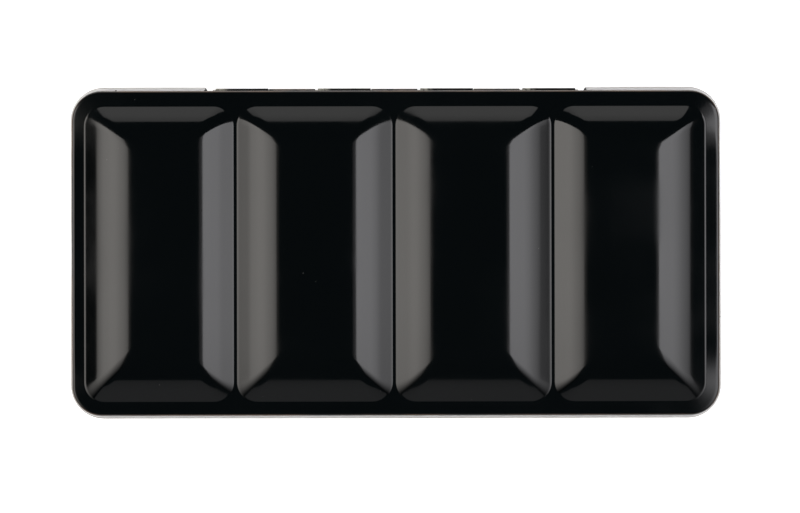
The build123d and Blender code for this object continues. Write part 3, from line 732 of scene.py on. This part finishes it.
def lathe(name, stations, axis_point, ahead, up, steps, material, **options):
    """Turned piece: stations are (distance along, radius) from axis_point along ahead."""
    ahead, up = np.asarray(ahead, float), np.asarray(up, float)
    side = np.cross(ahead, up)
    turns = np.arange(steps) / steps * 2 * np.pi
    rim = np.cos(turns)[:, None] * up + np.sin(turns)[:, None] * side
    rings = [np.asarray(axis_point) + ahead * place + rim * max(radius, 1e-4)
             for place, radius in stations]
    return ring_skin(name, rings, material, along=[place for place, radius in stations], **options)


wire = lathe("hinge_wire_rod",
             [(back - wire_half, radius) for back, radius in wire_tip]
             + [(wire_half - back, radius) for back, radius in wire_tip[::-1]],
             (0, hinge_y, hinge_z), (1, 0, 0), (0, 0, 1), 24, wire_steel)
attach(wire, "base")
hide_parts("hinge_wire")


# ---------------------------------------------- Thumb ring and its strap
# A D of plated wire folds flat into the hollow under the base. Its straight bar turns
# in a strap that is welded to the panel by two flat feet.
ring_r, ring_y, bar_z = 0.75, -7.0, 1.73
ring_bar, ring_width, ring_reach = 19.0, 24.0, 23.0
near_r, far_r = 2.5, 10.5

# nickel plate, dulled in patches, scratched along Y and pitted
plated, start, spot = finish_named("plated_steel")
dulled = spot.noise(95.0, 5.0).ease(0.40, 0.68)
scratch = spot.stretched((1.0, 0.06, 1.0)).noise(1500.0, 2.0).ease(0.56, 0.66)
pit = spot.noise(900.0, 1.0).ease(0.72, 0.76)
colour = dulled.blend((0.66, 0.65, 0.62), (0.47, 0.455, 0.42))
surface(start, Base_Color=pit.blend(colour, (0.17, 0.12, 0.08)), Metallic=1.0 - pit * 0.6,
        Roughness=dulled * 0.16 + scratch * 0.12 + 0.13,
        Normal=(dulled * 0.4 - scratch - pit * 2.0).bump(2.5e-6))


def rounded_corners(corners, radii, steps):
    """Closed run of points through the corners, each rounded by its own radius."""
    run = []
    for corner, before, behind, radius in zip(corners, np.roll(corners, 1, axis=0),
                                              np.roll(corners, -1, axis=0), radii):
        one = (before - corner) / np.linalg.norm(before - corner)
        two = (behind - corner) / np.linalg.norm(behind - corner)
        half = np.arccos(one @ two) / 2
        reach = radius / np.tan(half)
        centre = corner + (one + two) / np.linalg.norm(one + two) * radius / np.sin(half)
        first, last = corner + one * reach - centre, corner + two * reach - centre
        start_angle, end_angle = np.arctan2(first[1], first[0]), np.arctan2(last[1], last[0])
        turn = (end_angle - start_angle + np.pi) % (2 * np.pi) - np.pi
        angles = start_angle + turn * np.linspace(0, 1, steps + 1)
        run.append(centre + radius * np.stack([np.cos(angles), np.sin(angles)], 1))
    return np.concatenate(run)


ring_path = rounded_corners(
    np.array([(-ring_bar / 2, ring_y), (ring_bar / 2, ring_y),
              (ring_width / 2, ring_y + ring_reach), (-ring_width / 2, ring_y + ring_reach)]),
    (near_r, near_r, far_r, far_r), 16)
ahead = np.roll(ring_path, -1, axis=0) - np.roll(ring_path, 1, axis=0)
ahead /= np.linalg.norm(ahead, axis=1, keepdims=True)
outward = np.stack([ahead[:, 1], -ahead[:, 0]], 1)
turns = np.arange(24) / 24 * 2 * np.pi
ring_points = (np.column_stack([ring_path, np.full(len(ring_path), bar_z)])[:, None, :]
               + ring_r * np.cos(turns)[None, :, None]
               * np.column_stack([outward, np.zeros(len(outward))])[:, None, :]
               + ring_r * np.sin(turns)[None, :, None] * np.array((0.0, 0.0, 1.0)))
ring_points = np.concatenate([ring_points, ring_points[:1]])
thumb_ring = ring_skin("thumb_ring_wire", ring_points, plated, closed_ends=False)
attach(thumb_ring, "thumb_ring")
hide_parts("thumb_ring")

strap_gauge, strap_length, strap_foot, strap_gap, strap_bend = 0.4, 9.0, 5.0, 0.06, 0.35
strap_r = ring_r + strap_gap + strap_gauge / 2
foot_z = panel_rise - strap_gauge / 2
foot_start = strap_r + strap_bend
strap_path = np.concatenate([
    [(ring_y - strap_r - strap_foot, foot_z), (ring_y - foot_start, foot_z)],
    arc_points((ring_y - foot_start, foot_z - strap_bend), strap_bend, 90, 0, 4)[1:],
    arc_points((ring_y, bar_z), strap_r, 180, 360, 20),
    arc_points((ring_y + foot_start, foot_z - strap_bend), strap_bend, 180, 90, 4)[:-1],
    [(ring_y + foot_start, foot_z), (ring_y + strap_r + strap_foot, foot_z)]])
strap = curled_strip("ring_strap_sheet", strap_path, strap_gauge,
                     -strap_length / 2, strap_length / 2, plated)
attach(strap, "base")
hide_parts("ring_strap")


# ------------------------------------------------------------- Tube insert
# Thin formed plastic with a round-bottomed trough for each tube, and in front a
# channel for the brush with a finger dip across it. Its rim is rolled down.
insert_gauge, insert_half, insert_corner = 0.6, (116.8, 57.9), 9.0
insert_low, insert_top = 3.11, 8.51
tube_r, tube_z, tube_y, tube_pitch, tube_count = 8.8, 12.76, 6.925, 22.140833, 10
tube_length = 95.75
tube_xs = (np.arange(tube_count) - (tube_count - 1) / 2) * tube_pitch
trough_r, trough_half = tube_r + 0.25, tube_length / 2 + 0.6
channel_y, channel_z, channel_r, channel_half = -50.4, 7.91, 4.2, 93.0
dip_z, dip_r, dip_half = 12.71, 9.0, 5.75
wall_width = 0.9                        # of the eased wall at each end of a hollow


def insert_height(x, y):
    """Height of the insert's top face: each hollow is a circle's arc below the top,
    z = centre - sqrt(r^2 - d^2), ended by an eased wall."""
    height = np.full(x.shape, insert_top)
    hollows = [(x - place, y - tube_y, trough_r, tube_z, trough_half) for place in tube_xs]
    hollows += [(y - channel_y, x, channel_r, channel_z, channel_half),
                (x, y - channel_y, dip_r, dip_z, dip_half)]
    for across, along, radius, centre, half in hollows:
        floor = centre - np.sqrt(np.maximum(radius ** 2 - across ** 2, 0))
        floor = np.where(np.abs(across) < radius, floor, insert_top + 1)
        depth = np.maximum(insert_top - floor, 0) * smooth((half - np.abs(along)) / wall_width)
        height = np.minimum(height, insert_top - depth)
    return height


# a grid over the top face, with close rows where the hollows begin and end
rim, beside, wall_zone = insert_gauge, 0.1, 1.2
rows_y = np.unique(np.concatenate([
    np.linspace(-insert_half[1] + rim, channel_y - channel_r - beside, 6),
    channel_y + np.linspace(-channel_r, channel_r, 25),
    np.linspace(channel_y + channel_r + beside, tube_y - trough_half - beside, 5),
    tube_y - trough_half + np.linspace(0, wall_zone, 7),
    tube_y + trough_half - np.linspace(0, wall_zone, 7),
    np.linspace(tube_y - trough_half + wall_zone, tube_y + trough_half - wall_zone, 30),
    np.linspace(tube_y + trough_half + beside, insert_half[1] - rim, 4)]))
share_x = np.linspace(-1, 1, 321)
past = np.maximum(np.abs(rows_y) - (insert_half[1] - insert_corner), 0)
corner_in = (insert_corner - rim) - np.sqrt(np.maximum((insert_corner - rim) ** 2 - past ** 2, 0))
grid_y = np.repeat(rows_y[:, None], len(share_x), axis=1)
grid_x = share_x[None, :] * (insert_half[0] - rim - corner_in)[:, None]
top_face = np.stack([grid_x, grid_y, insert_height(grid_x, grid_y)], 2).reshape(-1, 3)
number = np.arange(len(top_face)).reshape(grid_x.shape)
insert_faces = np.stack([number[:-1, :-1], number[:-1, 1:], number[1:, 1:], number[1:, :-1]],
                        2).reshape(-1, 4).tolist()

# the rim rolls down all round from the grid's outer points
loop = np.concatenate([number[0, :-1], number[:-1, -1], number[-1, :0:-1], number[:0:-1, 0]])
edge = top_face[loop, :2]
outward, _ = outward_in_plan(edge, insert_half, insert_corner)
roll = [(rim * np.sin(turned), insert_top - rim * (1 - np.cos(turned)))
        for turned in (0.5, 1.1, np.pi / 2)]
roll.append((rim, insert_low + insert_gauge))
skirt = [np.column_stack([edge + outward * out, np.full(len(edge), z)]) for out, z in roll]
upper = loop
for k in range(len(skirt)):
    lower = len(top_face) + k * len(loop) + np.arange(len(loop))
    insert_faces += ring_faces(upper, lower)
    upper = lower

# greyish plastic with smears and flecks of old paint
insert_plastic, start, spot = finish_named("insert_plastic")
cloud = spot.noise(14.0, 4.0)
smear = spot.stretched((1.0, 0.45, 1.0)).noise(38.0, 4.0).ease(0.63, 0.70) * 0.35
fleck = spot.noise(260.0, 1.0).ease(0.74, 0.76)
tint = spot.noise(21.0, 1.0).ease(0.45, 0.55).blend((0.10, 0.16, 0.38), (0.48, 0.12, 0.07))
colour = smear.blend(cloud.blend((0.60, 0.59, 0.565), (0.52, 0.51, 0.48)), tint)
surface(start, Base_Color=fleck.blend(colour, tint), Roughness=cloud * 0.2 + 0.26 + smear * 0.3,
        Normal=(spot.noise(1500.0, 2.0) + fleck * 3.0).bump(3e-6))
insert = sheet_mesh("tube_insert_tray", np.concatenate([top_face] + skirt), insert_faces,
                    insert_gauge, (insert_plastic,) * 3)
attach(insert, "base")
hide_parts("tube_insert")


# ------------------------------------------------------- Paint tubes and caps
# Ten soft tin tubes lie head to tail. Each is round at the shoulder and pressed flat
# towards a tail that is folded over. Caps are moulded, with fine upright ribs.
round_length, body_length, tail_length, fold_length = 25.5, 71.0, 6.5, 3.25
shoulder_length, neck_r, neck_length = 3.6, 4.0, 9.5
tail_half, tail_gauge, tail_power, fold = np.pi * tube_r / 2, 0.75, 6.0, 0.3
tube_sides, dent_depth, first_seed = 96, 0.35, 3
cap_r, cap_length, cap_lift, cap_bore = 7.5, 14.4, 0.25, 4.08
cap_ribs, rib_height = 36, 0.32
shoulder_at = tube_length / 2 - cap_length - cap_lift - shoulder_length
crimp_start = shoulder_at - body_length


def tube_rings(seed):
    """Rings of one tube along Y from its tail to its neck. A section is the curve
    |x / w|^n + |z / h|^n = 1, which goes from a circle to a flat oblong, with shallow
    dents where the side has been pressed flat."""
    rng = np.random.default_rng(seed)
    turns = np.arange(tube_sides) / tube_sides * 2 * np.pi
    cosine, sine = np.cos(turns), np.sin(turns)
    phase = rng.uniform(0, 2 * np.pi, 4)
    # each section: half width, half height, power, distance from the crimp's start
    fold_end = fold_length - tail_length
    sections = [(tail_half - 0.3 * (1 - size), (tail_gauge + fold) * size, tail_power, out)
                for out, size in ((-tail_length, 0.55), (-tail_length + 0.15, 1.0),
                                  (fold_end - 0.1, 1.0), (fold_end, 0.85))]
    sections += [(tail_half, tail_gauge, tail_power, out) for out in (fold_end + 0.15, -0.4)]
    for back in np.concatenate([np.linspace(body_length, round_length, 44),
                                np.linspace(round_length, 0.6, 8)[1:]]):
        share = max((back - round_length) / (body_length - round_length), 0)
        flat = (1 - np.cos(np.pi * share)) / 2
        sections.append((tube_r + (tail_half - tube_r) * flat, tube_r - (tube_r - tail_gauge) * flat,
                         2.0 + 2.5 * max(flat - 0.8, 0) / 0.2, body_length - back))
    rings, places = [], []
    for wide, high, power, out in sections:
        x = wide * np.sign(cosine) * np.abs(cosine) ** (2 / power)
        z = high * np.sign(sine) * np.abs(sine) ** (2 / power)
        share = np.clip(out / body_length, 0, 1)
        press = dent_depth * np.sin(np.pi * np.clip(share * 1.25, 0, 1)) * min(high / tube_r, 1)
        dent = (np.sin(3 * turns + phase[0] + share * 4) * np.sin(share * 9 + phase[1])
                + 0.6 * np.sin(5 * turns + phase[2] - share * 7) * np.sin(share * 17 + phase[3]))
        inward = 1 - press * (dent + 1.6) / 3.2 / max(high, 1.0)
        places.append(crimp_start + out)
        rings.append(np.stack([x * inward, np.full(tube_sides, places[-1]), z * inward], 1))
    # shoulder and neck: distance past the shoulder's start, radius
    for out, radius in ((-0.25, tube_r), (0, tube_r - 0.08), (0.25, tube_r - 0.3),
                        (0.4, tube_r - 0.75), (1.8, 6.6),
                        (shoulder_length - 0.5, neck_r + 0.6), (shoulder_length - 0.1, neck_r + 0.1),
                        (shoulder_length + 0.2, neck_r), (shoulder_length + neck_length, neck_r)):
        places.append(shoulder_at + out)
        rings.append(np.stack([radius * cosine, np.full(tube_sides, places[-1]), radius * sine], 1))
    return np.array(rings), places


def cap_rings():
    """Rings of one cap along Y: bore, mouth, ribbed skirt and bevelled crown. A rib
    is a rounded ridge, r = r_low + height ((1 + cos(ribs a)) / 2)^0.7."""
    steps = cap_ribs * 10
    turns = np.arange(steps) / steps * 2 * np.pi
    rib = rib_height * (0.5 + 0.5 * np.cos(cap_ribs * turns)) ** 0.7
    low = cap_r - rib_height
    mouth, crown = tube_length / 2 - cap_length, tube_length / 2
    # each station: place along Y, radius, share of the rib
    stations = [(mouth + neck_length + 0.05, 0.001, 0), (mouth + neck_length + 0.05, cap_bore, 0),
                (mouth, cap_bore, 0), (mouth, low - 0.35, 0), (mouth + 0.12, low, 0),
                (mouth + 0.7, low, 0), (mouth + 0.85, low, 0.7), (mouth + 1.1, low, 1),
                (crown - 2.1, low, 1), (crown - 1.8, low, 0.6), (crown - 1.6, low, 0),
                (crown - 0.9, low - 0.03, 0), (crown - 0.45, low - 0.25, 0),
                (crown - 0.12, low - 0.75, 0), (crown, low - 1.4, 0), (crown, 3.0, 0),
                (crown - 0.15, 2.6, 0), (crown - 0.15, 0.001, 0)]
    rings = [np.stack([(radius + rib * ribbed) * np.cos(turns), np.full(steps, y),
                       (radius + rib * ribbed) * np.sin(turns)], 1) for y, radius, ribbed in stations]
    return np.array(rings), [y for y, radius, ribbed in stations]


def set_down(rings, x, turned):
    """Rings of a tube or cap moved to place x in the row, turned end for end if asked."""
    sign = -1.0 if turned else 1.0
    return rings * (sign, sign, 1.0) + (x, tube_y, tube_z)


# moulded plastic, scuffed and a little dusty
cap_plastic, start, spot = finish_named("cap_plastic")
scuff = spot.noise(420.0, 4.0).ease(0.60, 0.72)
dusty = spot.noise(60.0, 4.0).ease(0.45, 0.75)
colour = dusty.blend((0.010, 0.010, 0.011), (0.024, 0.023, 0.022))
surface(start, Base_Color=(scuff * 0.3).blend(colour, (0.060, 0.058, 0.055)),
        Roughness=scuff * 0.16 + dusty * 0.08 + 0.22, Normal=spot.noise(2600.0, 2.0).bump(1e-6))


def printed_tin(name, paint):
    """Finish of a tube. The print runs between the tail's fold and the shoulder: a
    pale ground, a broad band of the paint's colour between two fine rules, a third rule
    nearer the tail, and a ring of the paint's colour by the neck. Beyond the print, and
    along hard creases, the tin is bare."""
    label, start, spot = finish_named(name)
    along = start.node("ShaderNodeUVMap", {"uv_map": "skin"}).split()[1]
    blur = 0.08

    def stripe(low, high):
        """1 between the two places along the tube and 0 beyond them."""
        return along.ease(low - blur, low + blur) * (1.0 - along.ease(high - blur, high + blur))

    crinkle = spot.noise(85.0, 4.0)
    crease = abs(crinkle - 0.5)
    tail = 1.0 - along.ease(crimp_start + 2.0, crimp_start + 34.0)
    bare_line = (1.0 - crease.ease(0.004, 0.012)) * tail * spot.noise(400.0, 2.0).ease(0.42, 0.58)
    printed = stripe(crimp_start + 7.5, shoulder_at - 1.0) * (1.0 - bare_line)
    soiled = spot.noise(34.0, 5.0).ease(0.50, 0.78) * 0.35
    ground = soiled.blend((0.70, 0.695, 0.665), (0.45, 0.40, 0.33))
    printed_paint = spot.noise(150.0, 3.0).blend(paint, [0.80 * part + 0.01 for part in paint])
    broad_band, neck_ring = stripe(-16.0, 14.0), stripe(21.0, 26.0)
    rules = stripe(-18.4, -17.6) + stripe(15.6, 16.4) + stripe(-30.0, -29.6)
    colour = (broad_band + neck_ring).blend(ground, printed_paint)
    colour = rules.blend(colour, (0.03, 0.03, 0.035))
    tin = spot.noise(120.0, 3.0).blend((0.64, 0.64, 0.65), (0.50, 0.50, 0.52))
    surface(start, Base_Color=printed.blend(tin, colour), Metallic=(1.0 - printed) * 0.62,
            Roughness=soiled * 0.4 + 0.38 - printed * 0.12 + spot.noise(300.0, 3.0) * 0.10,
            Normal=(crinkle * (tail * 0.9 + 0.25) + spot.noise(520.0, 2.0) * 0.10).bump(4.5e-4))
    return label


paints = (("white", (0.80, 0.80, 0.77)), ("lemon", (0.85, 0.70, 0.03)),
          ("golden_yellow", (0.80, 0.36, 0.02)), ("scarlet", (0.60, 0.03, 0.015)),
          ("crimson", (0.30, 0.012, 0.035)), ("violet", (0.11, 0.03, 0.20)),
          ("ultramarine", (0.015, 0.03, 0.28)), ("sky_blue", (0.02, 0.18, 0.45)),
          ("green", (0.01, 0.18, 0.06)), ("umber", (0.09, 0.04, 0.018)))
for number, (paint, colour) in enumerate(paints):
    turned = number % 2 == 1
    label = printed_tin(f"tube_label_{paint}", colour)
    rings, places = tube_rings(number + first_seed)
    tube = ring_skin(f"tube_{number + 1:02d}_body", set_down(rings, tube_xs[number], turned),
                     label, girth=2 * np.pi * tube_r, along=places)
    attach(tube, "base")
    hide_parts(f"tube_{number + 1:02d}")
    rings, places = cap_rings()
    cap = ring_skin(f"cap_{number + 1:02d}_ribbed", set_down(rings, tube_xs[number], turned),
                    cap_plastic, girth=2 * np.pi * cap_r, along=places, sharp=65)
    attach(cap, f"cap_{number + 1:02d}")
    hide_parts(f"cap_{number + 1:02d}")


# ------------------------------------------------------------------- Brush
# A round pointed watercolour brush: lacquered handle with 12 mm of bare wood at its
# end, nickel ferrule with two rolled grooves, and sable-brown hair.
brush_z = 6.97
handle_length, ferrule_length, hair_length = 132.0, 27.0, 19.0
butt = -(handle_length + ferrule_length + hair_length) / 2
ferrule_at, hair_at = butt + handle_length, butt + handle_length + ferrule_length
spigot, ferrule_r, mouth_r, ferrule_gauge, groove_half = 11.0, 2.5, 2.1, 0.3, 0.45
brush_line = ((0, channel_y, brush_z), (1, 0, 0), (0, 0, 1))


def eased_profile(knots, steps):
    """Smooth curve of radius against distance through the knots, by a cubic fit."""
    place, radius = np.array(knots).T
    fit = np.polyfit(place, radius, 3)
    along = np.linspace(place[0], place[-1], steps)
    return list(zip(along, np.polyval(fit, along)))


# dark red lacquer, worn through in spots, over wood with its grain along the handle
lacquer, start, spot = finish_named("handle_lacquer")
grain = spot.stretched((0.035, 1.0, 1.0)).noise(1400.0, 4.0)
bare_length, lacquer_edge = 11.4, 0.6
lacquer_at = butt + bare_length
dipped = spot.split()[0].ease(lacquer_at * mm, (lacquer_at + lacquer_edge) * mm)
worn = spot.noise(130.0, 4.0).ease(0.66, 0.72) * 0.5
varnish = grain.ease(0.35, 0.65).blend((0.155, 0.009, 0.007), (0.090, 0.005, 0.005))
wood = grain.ease(0.38, 0.62).blend((0.56, 0.36, 0.19), (0.36, 0.20, 0.095))
surface(start, Base_Color=dipped.blend(wood, worn.blend(varnish, (0.21, 0.055, 0.035))),
        Roughness=0.42 - dipped * 0.28 + worn * 0.25, Coat_Weight=dipped * 0.6,
        Normal=(grain * (1.4 - dipped)).bump(1.6e-5))
handle = lathe("brush_handle_turned",
               [(butt, 0.01), (butt + 0.1, 0.35), (butt + 0.35, 0.62)]
               + eased_profile([(butt + 0.8, 0.82), (butt + handle_length / 2, 2.3),
                                (ferrule_at - 24, 3.2), (ferrule_at, 2.5)], 70)
               + [(at, ferrule_r - ferrule_gauge) for at in (ferrule_at, ferrule_at + spigot)],
               *brush_line, 40, lacquer)

# tarnished nickel with fine turning lines round it
nickel, start, spot = finish_named("ferrule_nickel")
turned_lines = spot.stretched((1.0, 0.05, 0.05)).noise(3200.0, 3.0)
tarnish = spot.noise(150.0, 5.0).ease(0.50, 0.75)
surface(start, Base_Color=tarnish.blend((0.66, 0.62, 0.55), (0.40, 0.34, 0.25)), Metallic=1.0,
        Roughness=turned_lines * 0.14 + tarnish * 0.18 + 0.08, Normal=turned_lines.bump(2e-6))
grooves = []
for share in (1 / 3, 2 / 3):
    middle = ferrule_at + spigot * share
    grooves += [(middle + groove_half * k, ferrule_r - 0.15 * (1 + np.cos(np.pi * k)) / 2)
                for k in np.linspace(-1, 1, 9)]
ferrule = lathe("brush_ferrule_rolled",
                [(ferrule_at, ferrule_r - ferrule_gauge), (ferrule_at, ferrule_r - 0.1),
                 (ferrule_at + 0.1, ferrule_r)] + grooves
                + [(ferrule_at + spigot, ferrule_r), (hair_at - 0.1, mouth_r), (hair_at, mouth_r - 0.1),
                   (hair_at, mouth_r - ferrule_gauge), (hair_at - 1.0, mouth_r - ferrule_gauge)],
                *brush_line, 48, nickel)

# brown hair in strands, darker at the tip
hair_brown, start, spot = finish_named("brush_hair")
strand = spot.stretched((0.028, 1.0, 1.0)).noise(2100.0, 5.0)
tip = spot.split()[0].ease((hair_at + 8) * mm, (hair_at + hair_length) * mm)
colour = strand.ease(0.36, 0.64).blend((0.060, 0.020, 0.008), (0.27, 0.115, 0.040))
surface(start, Base_Color=(tip * 0.75).blend(colour, (0.035, 0.014, 0.008)),
        Roughness=strand * 0.25 + 0.32, Normal=strand.bump(1.6e-4))
hair_side = eased_profile([(hair_at, 1.8), (hair_at + 6.6, 2.0), (hair_at + 14.2, 1.0),
                           (hair_at + hair_length, 0.02)], 40)
hair = lathe("brush_hair_tuft", [(hair_at - 1.0, 1.75)] + hair_side, *brush_line, 64, hair_brown)
for piece, node, finish in ((handle, "brush_handle", "handle_wood"),
                            (ferrule, "brush_ferrule", "ferrule_nickel"),
                            (hair, "brush_hair", "brush_hair")):
    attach(piece, "base")
    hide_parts(node)
